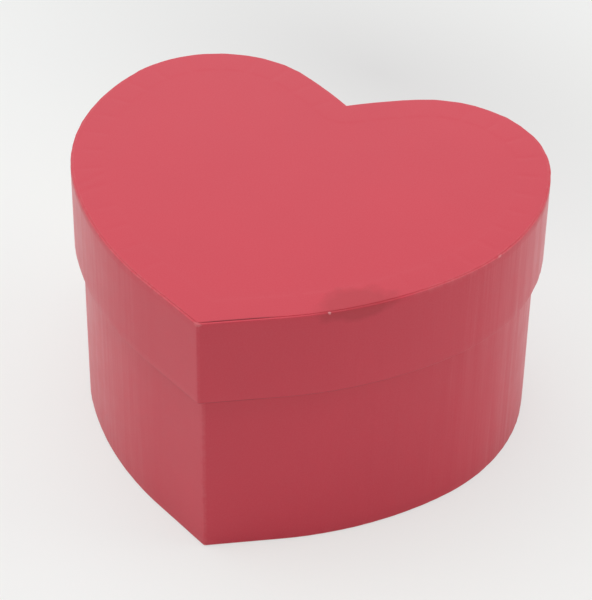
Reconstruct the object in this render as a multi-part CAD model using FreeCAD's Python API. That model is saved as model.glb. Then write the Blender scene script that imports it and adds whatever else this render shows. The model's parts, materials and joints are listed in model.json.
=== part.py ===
"""Heart-shaped rigid gift box: a tray and a lift-off lid, each made of board and wrapped in paper.

Each half is made the way a box maker makes it. A strip of greyboard is bent round a heart-shaped
panel. The strip is half cut on its outer face at the tip, so that it folds there, and its two square
ends meet at the cleft, where a paper tape holds them. A wrap strip covers the outside. It is turned
in over the rim, and its other edge is snipped into tabs that fold flat onto the panel. A heart-shaped
sheet hides the tabs, and lining papers cover the inside.

Millimetres, +Z up. The tip of the heart points along -Y and the cleft along +Y. The origin is on the
surface that the box stands on, at the middle of the lid's outline.
"""

import FreeCAD
import Part

import math
import os

from FreeCAD import Vector

# ---- driving dimensions -------------------------------------------------------------------------

LID_WIDTH = 180.0        # across the lid, over both lobes
LID_LENGTH = 165.5       # along the lid, from the top of the lobes to the tip's sharp corner
BOX_HEIGHT = 108.0       # with the lid on
LID_DEPTH = 36.0         # height of the lid's side

CLEFT_SIDE_RADIUS = 180.0  # gentle curve from the cleft up to each lobe, on the lid
LOBE_RADIUS = 44.5         # round top of each lobe
SIDE_RADIUS = 84.5         # widest part, below the lobe
TIP_RUN = 30.0             # straight run that ends at the tip, after the flank's curve
LOBE_START_ANGLE = 117.5   # where the cleft side meets the lobe, in degrees from +X
SHOULDER_ANGLE = 19.5      # where the lobe meets the side
WAIST_ANGLE = -33.5        # where the side meets the flank

WALL_BOARD = 1.8         # greyboard of the side strips
PANEL_BOARD = 2.0        # greyboard of the two heart panels
WRAP_PAPER = 0.2         # red paper outside
LINING_PAPER = 0.2       # pale paper inside
LID_CLEARANCE = 0.8      # free gap all round between the tray and the inside of the lid
PANEL_FIT = 0.1          # gap between a panel or inner sheet and the wall round it

TURN_IN = 15.0           # wrap folded over the rim, down the inside
TAB_DEPTH = 12.0         # snipped edge of the wrap, folded flat onto the panel
SNIP_PITCH = 14.0        # spacing of the snips along the fold
SNIP_GAP = 1.4           # width of a snip at the tabs' free edge
SNIP_START = 1.5         # how far from the fold a snip begins
WRAP_LAP = 8.0           # how far the wrap's end laps its start, beside the cleft
LINING_DROP = 4.0        # red turn-in left showing above the lining
TOP_SHEET_INSET = 0.8    # from the lid's edge to the edge of its top sheet
FOOT_SHEET_INSET = 1.5   # from the tray's side to the edge of its foot sheet
SCORE_DEPTH = 0.9        # half cut in the strip's outer face at the tip
STRIP_JOINT = 0.4        # gap between the strip's two ends at the cleft
TAPE_WIDTH = 24.0        # paper tape over the strip's joint at the cleft
TAPE_THICKNESS = 0.2

# ---- what follows from them ---------------------------------------------------------------------

# Distances inwards from the outer face of a side, through its layers.
BOARD_OUT = WRAP_PAPER
BOARD_IN = BOARD_OUT + WALL_BOARD
LINING_OUT = BOARD_IN + WRAP_PAPER
LINING_IN = LINING_OUT + LINING_PAPER

# The tray's outer face, inwards from the lid's.
TRAY_INSET = LINING_IN + LID_CLEARANCE

# Heights through the tray, from the foot up, and through the lid, from the top down.
FOOT_TABS = WRAP_PAPER
FOOT_BOARD = FOOT_TABS + WRAP_PAPER
FLOOR_PAPER = FOOT_BOARD + PANEL_BOARD
FLOOR = FLOOR_PAPER + LINING_PAPER
TOP_TABS = BOX_HEIGHT - WRAP_PAPER
TOP_BOARD = TOP_TABS - WRAP_PAPER
CEILING_PAPER = TOP_BOARD - PANEL_BOARD
CEILING = CEILING_PAPER - LINING_PAPER
TRAY_RIM = CEILING       # the lid's ceiling rests on the tray's rim
LID_RIM = BOX_HEIGHT - LID_DEPTH

TIP_BEND = SCORE_DEPTH + WRAP_PAPER  # outer radius of the wrap where it bridges the half cut
CUT_MARGIN = 2.0         # how far a cutting solid stands past what it cuts
MITRE_SLIT = 0.4         # gap between the two tabs that meet at the tip


def polar(angle):
    """Unit vector at an angle in radians from +X."""
    return Vector(math.cos(angle), math.sin(angle), 0)


def mirrored(point):
    """The same point on the other side of the heart's axis."""
    return Vector(-point.x, point.y, point.z)


# ---- the heart outline --------------------------------------------------------------------------
# The right half is four arcs that meet smoothly, the cleft side, lobe, side and flank, and then the
# straight tip run. Every layer of the box has the same four centres, and only its radii differ.


JOINT_DIRECTIONS = [
    polar(math.radians(angle)) for angle in (LOBE_START_ANGLE, SHOULDER_ANGLE, WAIST_ANGLE)
]


def lid_outline():
    """The lid's outer face: (centre, radius) of its four arcs, and the way its tip run faces."""
    start, shoulder, waist = JOINT_DIRECTIONS
    side = Vector(LID_WIDTH / 2 - SIDE_RADIUS, 0, 0)
    lobe = side + shoulder * (SIDE_RADIUS - LOBE_RADIUS)
    cleft_side = lobe + start * (LOBE_RADIUS - CLEFT_SIDE_RADIUS)
    tip = Vector(0, lobe.y + LOBE_RADIUS - LID_LENGTH, 0)
    # The flank leaves the side smoothly, and the tangent to it from the tip is TIP_RUN long.
    to_tip = tip - (side + waist * SIDE_RADIUS)
    flank_radius = (to_tip.dot(to_tip) - TIP_RUN**2) / (-2 * to_tip.dot(waist))
    flank = side + waist * (SIDE_RADIUS - flank_radius)
    to_tip = tip - flank
    tip_face = polar(math.atan2(to_tip.y, to_tip.x) + math.atan2(TIP_RUN, flank_radius))
    # The origin goes to the middle of the outline, whose front end is the rounded tip.
    back = lobe.y + LOBE_RADIUS
    front = tip.y - TIP_BEND / tip_face.y - TIP_BEND
    to_origin = Vector(0, -(back + front) / 2, 0)
    arcs = [
        (cleft_side + to_origin, CLEFT_SIDE_RADIUS),
        (lobe + to_origin, LOBE_RADIUS),
        (side + to_origin, SIDE_RADIUS),
        (flank + to_origin, flank_radius),
    ]
    return arcs, tip_face


ARCS, TIP_FACE = lid_outline()


def cleft_point(inset):
    """The sharp corner of the cleft on the face that lies that far in from the lid's."""
    centre, radius = ARCS[0]
    return Vector(0, centre.y + math.sqrt((radius - inset) ** 2 - centre.x**2), 0)


def tip_point(inset):
    """The sharp corner of the tip on the face that lies that far in from the lid's."""
    centre, radius = ARCS[-1]
    return Vector(0, (centre.dot(TIP_FACE) + radius - inset) / TIP_FACE.y, 0)


def outward(point, centre):
    """Unit vector from an arc's centre to a point of the outline."""
    return (point - centre).normalize()


def outline_joints(inset, tip_radius=0.0, cleft_radius=0.0):
    """The six points where the right half's arcs and tip run begin and end, from the cleft on.

    A fold may be rounded. At the tip it bends about a point tip_radius inside the face, and at the
    cleft, which bends the other way, about a point cleft_radius outside it.
    """
    fold = cleft_point(inset - cleft_radius)
    first = fold - outward(fold, ARCS[0][0]) * cleft_radius
    between = [
        centre + direction * (radius - inset)
        for (centre, radius), direction in zip(ARCS, [*JOINT_DIRECTIONS, TIP_FACE])
    ]
    last = tip_point(inset + tip_radius) + TIP_FACE * tip_radius
    return [first, *between, last]


def heart(inset, tip_radius=0.0, cleft_radius=0.0):
    """Closed outline of the face that lies inset inwards from the lid's outer face, at z = 0."""
    joints = outline_joints(inset, tip_radius, cleft_radius)
    right, left = [], []
    for (centre, radius), start, end in zip(ARCS, joints, joints[1:]):
        middle = centre + outward((start + end) * 0.5, centre) * (radius - inset)
        right.append(Part.Arc(start, middle, end).toShape())
        left.append(Part.Arc(mirrored(end), mirrored(middle), mirrored(start)).toShape())
    start, end = joints[-2:]
    right.append(Part.LineSegment(start, end).toShape())
    left.append(Part.LineSegment(mirrored(end), mirrored(start)).toShape())
    edges = list(right)
    if tip_radius:
        front = tip_point(inset + tip_radius) - Vector(0, tip_radius, 0)
        edges.append(Part.Arc(joints[-1], front, mirrored(joints[-1])).toShape())
    edges += reversed(left)
    if cleft_radius:
        back = cleft_point(inset - cleft_radius) - Vector(0, cleft_radius, 0)
        edges.append(Part.Arc(mirrored(joints[0]), back, joints[0]).toShape())
    return Part.Wire(edges)


# ---- solids from outlines -----------------------------------------------------------------------


def prism(wire, low, high):
    """The solid between two heights that has this outline."""
    face = Part.Face(wire)
    face.translate(Vector(0, 0, low))
    return face.extrude(Vector(0, 0, high - low))


def ring(outer, inner, low, high):
    """The solid between two outlines and two heights."""
    return prism(outer, low, high).cut(prism(inner, low, high))


def wedge(apex, one, other, low, high):
    """A triangular prism: the corner at apex, and the ends of two vectors from it."""
    corners = [apex, apex + one, apex + other, apex]
    return prism(Part.makePolygon(corners), low, high)


def slab(x_low, x_high, y_low, y_high, low, high):
    """A plain block between two corners, for trimming."""
    return Part.makeBox(
        x_high - x_low, y_high - y_low, high - low, Vector(x_low, y_low, low)
    )


# ---- the pieces of one half, tray or lid --------------------------------------------------------
# shell is how far the half's outer face lies in from the lid's: 0 for the lid itself.


def cleft_notch(inset, depth, low, high):
    """What two edges square to the outline leave open between them at the cleft, depth deep."""
    corner = cleft_point(inset)
    slope = outward(corner, ARCS[0][0])
    side = slope * -(depth / slope.y**2 + CUT_MARGIN)
    return wedge(corner, side, mirrored(side), low, high)


def wall_strip(shell, low, high):
    """Greyboard strip bent into a heart: half cut at the tip, its square ends meeting at the cleft."""
    outer, inner = shell + BOARD_OUT, shell + BOARD_IN
    strip = ring(heart(outer), heart(inner), low, high)
    # The half cut opens into a vee as the strip folds, square to the two flanks.
    bottom = tip_point(outer + SCORE_DEPTH)
    lip = TIP_FACE * (SCORE_DEPTH + CUT_MARGIN)
    strip = strip.cut(wedge(bottom, lip, mirrored(lip), low, high))
    # The two square ends all but touch on the outer face, and leave a vee open to the inside.
    corner = cleft_point(outer)
    half_gap = STRIP_JOINT / 2
    gap = slab(-half_gap, half_gap, corner.y - CUT_MARGIN, corner.y + CUT_MARGIN, low, high)
    return strip.cut([gap, cleft_notch(outer, WALL_BOARD, low, high)])


def cleft_wire(shell, depth):
    """Outline of a layer inside the strip, which bends round the strip's ends at the cleft."""
    return heart(shell + depth, cleft_radius=depth - BOARD_OUT)


def joint_tape(shell, low, high):
    """Paper tape on the inner face of the strip, folded over the joint at the cleft."""
    layer = ring(
        cleft_wire(shell, BOARD_IN),
        cleft_wire(shell, BOARD_IN + TAPE_THICKNESS),
        low,
        high,
    )
    slope = outward(cleft_point(shell + BOARD_IN), ARCS[0][0])
    reach = TAPE_WIDTH / 2 * slope.y
    return layer.common(slab(-reach, reach, 0, LID_LENGTH, low, high))


def lining(shell, low, high):
    """Lining strip inside the wall. It covers all but the edge of the turned-in wrap."""
    return ring(
        cleft_wire(shell, LINING_OUT), cleft_wire(shell, LINING_IN), low, high
    )


def snip_places(inset):
    """Points along the right half's arcs, each with its outward direction, about SNIP_PITCH apart.

    The tip run has none, because a straight fold lies flat without snips.
    """
    joints = outline_joints(inset)
    places = []
    for (centre, radius), start, end in zip(ARCS, joints, joints[1:]):
        first, last = outward(start, centre), outward(end, centre)
        start_angle = math.atan2(first.y, first.x)
        sweep = first.getAngle(last)
        count = round(sweep * (radius - inset) / SNIP_PITCH)
        for index in range(count):
            direction = polar(start_angle - sweep * (index + 0.5) / count)
            places.append((centre + direction * (radius - inset), direction))
    return places


def snipped_tabs(shell, low, high):
    """The wrap's edge folded flat onto the panel, snipped so that it follows the curve."""
    tabs = ring(heart(shell, TIP_BEND), heart(shell + TAB_DEPTH), low, high)
    snips = []
    reach = TAB_DEPTH + CUT_MARGIN
    half_gap = SNIP_GAP / 2 * (reach - SNIP_START) / (TAB_DEPTH - SNIP_START)
    for point, direction in snip_places(shell):
        apex = point - direction * SNIP_START
        along = Vector(-direction.y, direction.x, 0) * half_gap
        back = direction * -(reach - SNIP_START)
        snips.append(wedge(apex, back - along, back + along, low, high))
        snips.append(
            wedge(mirrored(apex), mirrored(back - along), mirrored(back + along), low, high)
        )
    # At the cleft the paper opens square to both sides, and at the tip the two tabs meet in a mitre.
    snips.append(cleft_notch(shell + BOARD_OUT, TAB_DEPTH, low, high))
    tip = tip_point(shell + TIP_BEND + SNIP_START)
    half_slit = MITRE_SLIT / 2
    snips.append(slab(-half_slit, half_slit, tip.y, tip.y + 3 * TAB_DEPTH, low, high))
    return tabs.cut(Part.makeCompound(snips))


def wrap_lap(shell, low, high):
    """The end of the wrap strip, lying over its start on one side of the cleft."""
    lap = ring(heart(shell - WRAP_PAPER), heart(shell), low, high)
    slope = outward(cleft_point(shell), ARCS[0][0])
    return lap.common(slab(-WRAP_LAP * slope.y, 0, 0, LID_LENGTH, low, high))


def side_wrap(shell, rim, tabs_outer, tabs_inner):
    """Red wrap of one half: outside, over the rim, down the inside, and tabs over the panel.

    rim is the height of the open edge. The tabs lie between tabs_outer, the height of their outer
    face, and tabs_inner. The tray has its rim above its tabs, and the lid below them.
    """
    up = 1 if rim > tabs_outer else -1
    low, high = sorted((rim, tabs_outer))
    outside = ring(heart(shell, TIP_BEND), heart(shell + BOARD_OUT, SCORE_DEPTH), low, high)
    over_low, over_high = sorted((rim, rim - up * WRAP_PAPER))
    over = ring(
        heart(shell, TIP_BEND), cleft_wire(shell, LINING_OUT), over_low, over_high
    )
    in_low, in_high = sorted((rim, rim - up * TURN_IN))
    inside = ring(
        cleft_wire(shell, BOARD_IN), cleft_wire(shell, LINING_OUT), in_low, in_high
    )
    tabs = snipped_tabs(shell, *sorted((tabs_outer, tabs_inner)))
    lap = wrap_lap(shell, low, high)
    return outside.multiFuse([over, inside, tabs, lap]).removeSplitter()


# ---- the tray -----------------------------------------------------------------------------------


def tray():
    """The pieces of the tray, by name."""
    shell = TRAY_INSET
    board_top = TRAY_RIM - WRAP_PAPER
    under_turn_in = TRAY_RIM - TURN_IN
    return {
        "tray_foot_sheet": prism(heart(shell + FOOT_SHEET_INSET), 0, FOOT_TABS),
        "tray_side_wrap": side_wrap(shell, TRAY_RIM, FOOT_TABS, FOOT_BOARD),
        "tray_wall_board": wall_strip(shell, FOOT_BOARD, board_top),
        "tray_bottom_board": prism(
            heart(shell + BOARD_IN + PANEL_FIT, cleft_radius=WALL_BOARD),
            FOOT_BOARD,
            FLOOR_PAPER,
        ),
        "tray_joint_tape": joint_tape(shell, FLOOR_PAPER, under_turn_in),
        "tray_wall_lining": lining(shell, FLOOR_PAPER, TRAY_RIM - LINING_DROP),
        "tray_floor_sheet": prism(
            heart(shell + LINING_IN + PANEL_FIT, cleft_radius=WALL_BOARD),
            FLOOR_PAPER,
            FLOOR,
        ),
    }


# ---- the lid ------------------------------------------------------------------------------------


def lid():
    """The pieces of the lid, by name."""
    board_bottom = LID_RIM + WRAP_PAPER
    over_turn_in = LID_RIM + TURN_IN
    return {
        "lid_top_sheet": prism(heart(TOP_SHEET_INSET), TOP_TABS, BOX_HEIGHT),
        "lid_side_wrap": side_wrap(0.0, LID_RIM, TOP_TABS, TOP_BOARD),
        "lid_wall_board": wall_strip(0.0, board_bottom, TOP_BOARD),
        "lid_top_board": prism(
            heart(BOARD_IN + PANEL_FIT, cleft_radius=WALL_BOARD),
            CEILING_PAPER,
            TOP_BOARD,
        ),
        "lid_joint_tape": joint_tape(0.0, over_turn_in, CEILING_PAPER),
        "lid_wall_lining": lining(0.0, LID_RIM + LINING_DROP, CEILING_PAPER),
        "lid_ceiling_sheet": prism(
            heart(LINING_IN + PANEL_FIT, cleft_radius=WALL_BOARD),
            CEILING,
            CEILING_PAPER,
        ),
    }


def main():
    """Builds every piece and writes one STEP file for each."""
    os.makedirs("parts", exist_ok=True)
    for name, shape in {**tray(), **lid()}.items():
        if len(shape.Solids) != 1 or not shape.isValid():
            raise RuntimeError(f"{name} is not one sound solid")
        solid = shape.Solids[0]
        solid.exportStep(os.path.join("parts", f"{name}.step"))
        box = solid.BoundBox
        size = f"{box.XLength:.1f} x {box.YLength:.1f} x {box.ZLength:.1f} mm"
        print(f"{name:20} {size:26} {solid.Volume / 1000:8.2f} cm3, {len(solid.Faces)} faces")


main()
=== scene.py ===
"""Looks of the heart gift box: red paper outside, ivory paper inside, greyboard between.

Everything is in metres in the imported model's frame. +Z is up, the tip of the heart points along -Y
and the cleft along +Y. Sizes of the box are written in millimetres, as a box maker would.
"""

import json
import math
from functools import cache, partial
from typing import NamedTuple

import bmesh
import bpy
import numpy as np
from mathutils import Matrix, Vector


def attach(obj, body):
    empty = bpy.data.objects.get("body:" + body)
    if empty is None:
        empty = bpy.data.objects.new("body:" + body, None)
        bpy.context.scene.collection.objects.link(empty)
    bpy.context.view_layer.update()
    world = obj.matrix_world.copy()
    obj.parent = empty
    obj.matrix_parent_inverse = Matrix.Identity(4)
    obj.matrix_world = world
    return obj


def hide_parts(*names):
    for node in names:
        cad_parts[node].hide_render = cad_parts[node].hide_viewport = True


bl_info = {
    "name": "Heart Gift Box",
    "version": (1, 0, 0),
    "blender": (4, 5, 0),
    "location": "3D View > Sidebar > Heart Box",
    "description": "Papers, boards and stage of a heart-shaped set-up box round its packed model",
    "category": "Object",
}

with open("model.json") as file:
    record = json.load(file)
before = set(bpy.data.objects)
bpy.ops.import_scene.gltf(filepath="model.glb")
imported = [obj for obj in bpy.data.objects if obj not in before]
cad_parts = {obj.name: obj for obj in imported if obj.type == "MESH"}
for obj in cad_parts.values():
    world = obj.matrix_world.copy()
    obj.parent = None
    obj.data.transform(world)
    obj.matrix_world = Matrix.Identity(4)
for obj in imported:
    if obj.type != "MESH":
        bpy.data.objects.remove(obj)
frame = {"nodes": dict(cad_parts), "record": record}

MM = 0.001

# ---- sizes of the box, in millimetres -----------------------------------------------------------

LID_WIDTH = 180.0
LID_LENGTH = 165.5       # from the top of the lobes to the sharp corner at the tip
BOX_HEIGHT = 108.0
LID_RIM = 72.0           # heights above the table
TRAY_RIM = 105.4
CEILING = 105.6          # underside of the lid's top board
FLOOR = 2.4              # top of the tray's bottom board

# The outline's arcs from the cleft to the tip, and the angles from +X at which they meet
CLEFT_SIDE_RADIUS = 180.0
LOBE_START_ANGLE = 117.5
LOBE_RADIUS = 44.5
SHOULDER_ANGLE = 19.5
SIDE_RADIUS = 84.5
WAIST_ANGLE = -33.5
TIP_RUN = 30.0           # the straight run at the tip

# Layers of a wall, as depths inwards from its outer face
PAPER = 0.2              # thickness of every paper
BOARD_OUT = PAPER
BOARD_IN = 2.0
LINING_OUT = 2.2         # over the turned-in wrap
LINING_IN = 2.4
TRAY_INSET = 3.2         # the tray's outer face, inwards from the lid's

# Folds, tabs and laps of the papers
TIP_BEND = 1.1           # radii of the wrap's folds at the tip and at the cleft
CLEFT_BEND = 0.15
INNER_TIP_BEND = 0.3     # the same of the faces inside it
SHEET_TIP_BEND = 0.4     # radii of a heart sheet's corners at the tip and at the cleft
SHEET_CLEFT_BEND = 0.3
TURN_IN = 15.0           # wrap folded over the rim, down the inside
LINING_DROP = 4.0        # red turn-in left showing beside the lining
TAPE_REACH = 12.0        # half the width of the tape over the board's joint
WRAP_LAP = 8.0
TAB_DEPTH = 12.0
SNIP_START = 1.5         # where the snips end, inwards from the panel's edge
SNIP_PITCH = 14.0
SNIP_GAP = 1.4           # width of a snip at the tabs' free edge and at its root
SNIP_ROOT_GAP = 0.05
MITRE_SLIT = 0.4

# ---- how the papers are drawn -------------------------------------------------------------------

CLEFT_POINTS = 5         # points of half the cleft's fold, half the tip's, an edge's, and a tab
TIP_POINTS = 7
FOLD_POINTS = 6
TAB_POINTS = 5
SIDE_STEP = 3.0          # spacing of the rows along a wall and across its rim
RIM_STEP = 0.6
SHEET_RINGS = (0, 0.25, 0.7, 1.3, 2.5, 4, 5.5, 7, 8.5, 9.7, 10.5, 11, 11.5, 12, 13, 15, 18)
SHEET_SHRINKS = (0.86, 0.72, 0.58, 0.44, 0.3, 0.16)  # rings inside those, as shares of the last one
SHARP_ANGLE = 40.0
MIRROR = np.array([-1.0, 1.0])

TIGHT_RADIUS = 40.0      # ripples have their full height where the board bends this tightly
BEND_BLUR = 8            # points on each side over which the ripples fade
SEAM_CALM = 5.0          # ripples fade within this of the wrap's seam, so that its ends meet
RIPPLES_PER_METRE = 210.0
RIPPLE_LEAN = 0.06       # how fast a ripple changes with height, beside its change along the wall
DEEPEST = -0.5 * PAPER   # the board holds a paper from behind
LINING_FREE = 0.2        # share of the waves that a lining follows, so that the wrap stays behind it
SHEET_WAVE = 0.03        # height of a flat sheet's slow waves
COVER_CURL = 0.01        # how far a cover sheet's edge is pressed down
RIM_SHADE_LEAST = 0.4          # least painted shade at a rim and round a cover sheet, beside the darkest painted shade at the tip
COVER_SHADE_LEAST = 0.03
EDGE_SHADE_PLACE = np.array([12.0, -76.0])    # beside the tip, where the papers' edges get the darkest painted shade
FRONT_FLANK = np.array([31.0, -61.0])  # middle of the flank right of the tip, where the folds get the least painted pale of wear and highlight

WRAP_SEED = 3            # the lid's seeds, and the tray's are one more
LINING_SEED = 12
COVER_SEED = 30
INNER_SEED = 40
EDGE_SHADE_SEED = 50

# Places on the edges where the red is rubbed off: centre, size, turn and strength
CHIPS = (
    ((39.6, -59.3, 107.6), (0.6, 0.6, 0.6), 0.0, 0.4),
    ((84.1, -6.2, 107.6), (0.6, 1.2, 0.6), 0.0, 0.25),
    ((0.0, -82.6, 107.6), (2.4, 1.2, 1.0), 0.0, 0.13),
    ((0.0, -79.4, 0.3), (1.2, 1.0, 1.2), 0.0, 0.2),
)
DENT_SHADE = ((47.5, -51.5, 108.0), (17.0, 11.5, 6.5), 32.6)  # centre, size and turn of the patch of painted shade, as of a soft dent in the lid's front edge


class Half(NamedTuple):
    """One half of the box. Its lengths are in millimetres."""

    body: str
    face: float          # its outer face, inwards from the lid's
    tabs: float          # height of the outer face of its tabs
    rim: float           # height of its rim
    panel: float         # height of its panel's inner face
    up: int              # 1 where the panel is above the rim, and -1 where it is below
    tab_wear_and_highlight: float      # how pale its folds are painted, as wear and painted highlight, at the tabs, at the rim and down the tip
    rim_wear_and_highlight: float
    tip_wear_and_highlight: float
    rim_shade: float       # how dark the painted shade on its rim's fold is
    cover_inset: float   # edge of its cover sheet, inwards from its outer face
    cover_node: str
    inner_node: str


HALVES = (
    Half(
        body="lid",
        face=0.0,
        tabs=BOX_HEIGHT - PAPER,
        rim=LID_RIM,
        panel=CEILING,
        up=1,
        tab_wear_and_highlight=1.0,
        rim_wear_and_highlight=0.1,
        tip_wear_and_highlight=0.35,
        rim_shade=0.8,
        cover_inset=0.8,
        cover_node="lid_top_sheet",
        inner_node="lid_ceiling_sheet",
    ),
    Half(
        body="tray",
        face=TRAY_INSET,
        tabs=PAPER,
        rim=TRAY_RIM,
        panel=FLOOR,
        up=-1,
        tab_wear_and_highlight=0.2,
        rim_wear_and_highlight=0.5,
        tip_wear_and_highlight=0.65,
        rim_shade=0.0,
        cover_inset=1.5,
        cover_node="tray_foot_sheet",
        inner_node="tray_floor_sheet",
    ),
)

# ---- the stage, in metres and watts -------------------------------------------------------------

TABLE_RADIUS = 3.0
TABLE_SIDES = 96
TABLE_TOP = -0.0002      # just under the box's foot
TABLE_SHADE = ((-50.0, 250.0, 0.0), (330.0, 185.0, 100.0), -20.0)  # a painted shadow behind the box: centre, size and turn in mm, like the painted dent shade

LAMPS = (
    # name, place, width and power
    ("overhead_softbox", (-0.5, 0.1, 2.2), 2.2, 27.9),
    ("left_softbox", (-1.8, -0.6, 1.1), 1.4, 4.4),
    ("right_softbox", (1.75, 0.75, 1.1), 1.4, 9.6),
    ("back_softbox", (-0.72, 2.0, 1.13), 1.2, 1.3),
)
LAMP_AIM = (0.0, 0.0, 0.05)

# The photograph's own viewpoint, worked out from the box's outline in it
CAMERA_PLACE = (0.25675, -0.66483, 0.61748)
CAMERA_FORWARD = (-0.27880, 0.73577, -0.61718)
CAMERA_LEVEL = (0.93498, 0.35471, 0.0)
CAMERA_ROLL = 0.01741
CAMERA_LENS = 143.3
CAMERA_SENSOR = 36.0


# ---- what a user may change ---------------------------------------------------------------------


def linear(code):
    """The linear colour of an sRGB hex code."""
    values = [int(code[i : i + 2], 16) / 255 for i in (1, 3, 5)]
    return tuple(v / 12.92 if v <= 0.04045 else ((v + 0.055) / 1.055) ** 2.4 for v in values)


def length(name, description, default_mm):
    """A property that holds a length."""
    return bpy.props.FloatProperty(
        name=name,
        description=description,
        default=default_mm * MM,
        min=0.0,
        precision=5,
        unit="LENGTH",
        subtype="DISTANCE",
    )


def colour(name, description, code):
    """A property that holds a colour."""
    return bpy.props.FloatVectorProperty(
        name=name,
        description=description,
        default=linear(code),
        size=3,
        min=0,
        max=1,
        subtype="COLOR",
    )


class HeartBoxSizes(bpy.types.PropertyGroup):
    """How the papers lie on the boards."""

    fold_radius: length("Fold radius", "Outer radius of a paper fold over a board's edge", 0.5)
    step: length("Step", "Spacing of the points along the outline", 1.1)
    wave_height: length("Wave height", "How far the glued paper waves in and out", 0.09)
    wave_length: length("Wave length", "Width of one wave of the glued paper", 38.0)
    ripple_height: length("Ripple height", "Upright ripples where the board bends tightest", 1.0)
    telegraph: length("Telegraph", "How far the tabs under a cover sheet show through it", 0.05)


class HeartBoxColours(bpy.types.PropertyGroup):
    """The colours of the papers and boards."""

    wrap_red: colour("Wrap red", "Printed face of the wrapping paper", "#CD3044")
    wrap_deep: colour("Wrap deep red", "Deeper parts of the wrapping paper's tone", "#C12C40")
    # Also painted pale on the folds, partly as wear and partly as painted highlight.
    wrap_core: colour("Wrap core", "Paper fibre that shows where the red is worn off", "#F3C4C4")
    lining_ivory: colour("Lining ivory", "Uncoated paper inside the box", "#EFE6D3")
    greyboard: colour("Greyboard", "Raw chipboard of the walls and panels", "#9F988C")
    kraft_brown: colour("Kraft brown", "Gummed tape over the joint of the board", "#B48A5C")
    table_white: colour("Table white", "Matt surface that the box stands on", "#F3F4F2")


class HeartBoxSettings(bpy.types.PropertyGroup):
    """All settings of the heart box."""

    sizes: bpy.props.PointerProperty(type=HeartBoxSizes)
    colours: bpy.props.PointerProperty(type=HeartBoxColours)


# ---- nodes --------------------------------------------------------------------------------------


def feed(node, inputs):
    """Sets or links a node's inputs, by name or number from a dict, or in order from a tuple."""
    for key, value in inputs.items() if isinstance(inputs, dict) else enumerate(inputs):
        if isinstance(value, bpy.types.NodeSocket):
            node.id_data.links.new(value, node.inputs[key])
        else:
            node.inputs[key].default_value = value


def add(tree, kind, inputs=(), output=0, **settings):
    """Adds a node with its settings and inputs, and gives one of its outputs."""
    node = tree.nodes.new(kind)
    for name, value in settings.items():
        setattr(node, name, value)
    feed(node, inputs)
    return node.outputs[output] if node.outputs else None


# ---- the heart outline --------------------------------------------------------------------------


def unit(degrees):
    """Unit vector at an angle from +X."""
    return np.array([math.cos(math.radians(degrees)), math.sin(math.radians(degrees))])


def angle_of(way):
    """Angle of a direction from +X, in degrees."""
    return math.degrees(math.atan2(way[1], way[0]))


def distance(points, place):
    """How far each point is from the place."""
    return np.hypot(*(points - place).T)


def smooth(value, low, high):
    """0 below low, 1 above high, and a soft step between."""
    share = np.clip((value - low) / (high - low), 0, 1)
    return share * share * (3 - 2 * share)


def lid_outline():
    """Centres and radii of the four arcs of the right half, and the angles at which they end."""
    side = np.array([LID_WIDTH / 2 - SIDE_RADIUS, 0.0])
    lobe = side + unit(SHOULDER_ANGLE) * (SIDE_RADIUS - LOBE_RADIUS)
    cleft_side = lobe + unit(LOBE_START_ANGLE) * (LOBE_RADIUS - CLEFT_SIDE_RADIUS)
    tip = np.array([0.0, lobe[1] + LOBE_RADIUS - LID_LENGTH])
    waist = unit(WAIST_ANGLE)
    to_tip = tip - (side + waist * SIDE_RADIUS)
    flank_radius = (to_tip @ to_tip - TIP_RUN**2) / (-2 * to_tip @ waist)
    flank = side + waist * (SIDE_RADIUS - flank_radius)
    tip_angle = angle_of(tip - flank) + math.degrees(math.atan2(TIP_RUN, flank_radius))
    front = tip[1] - TIP_BEND / unit(tip_angle)[1] - TIP_BEND
    middle = np.array([0.0, (lobe[1] + LOBE_RADIUS + front) / 2])
    arcs = [
        (cleft_side - middle, CLEFT_SIDE_RADIUS),
        (lobe - middle, LOBE_RADIUS),
        (side - middle, SIDE_RADIUS),
        (flank - middle, flank_radius),
    ]
    return arcs, [LOBE_START_ANGLE, SHOULDER_ANGLE, WAIST_ANGLE, tip_angle]


ARCS, END_ANGLES = lid_outline()
TIP_ANGLE = END_ANGLES[-1]


def cleft_corner(inset):
    """Where the face that is inset inwards from the lid's crosses the heart's axis, at the cleft."""
    centre, radius = ARCS[0]
    return np.array([0.0, centre[1] + math.sqrt((radius - inset) ** 2 - centre[0] ** 2)])


def tip_corner(inset):
    """The same at the tip."""
    centre, radius = ARCS[-1]
    facing = unit(TIP_ANGLE)
    return np.array([0.0, (centre @ facing + radius - inset) / facing[1]])


def arcs_from(corner):
    """The right half's arcs from a corner at the cleft: centre, radius, and start and end angle."""
    first = angle_of(corner - ARCS[0][0])
    return [(*arc, *ends) for arc, *ends in zip(ARCS, [first, *END_ANGLES], END_ANGLES)]


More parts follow.
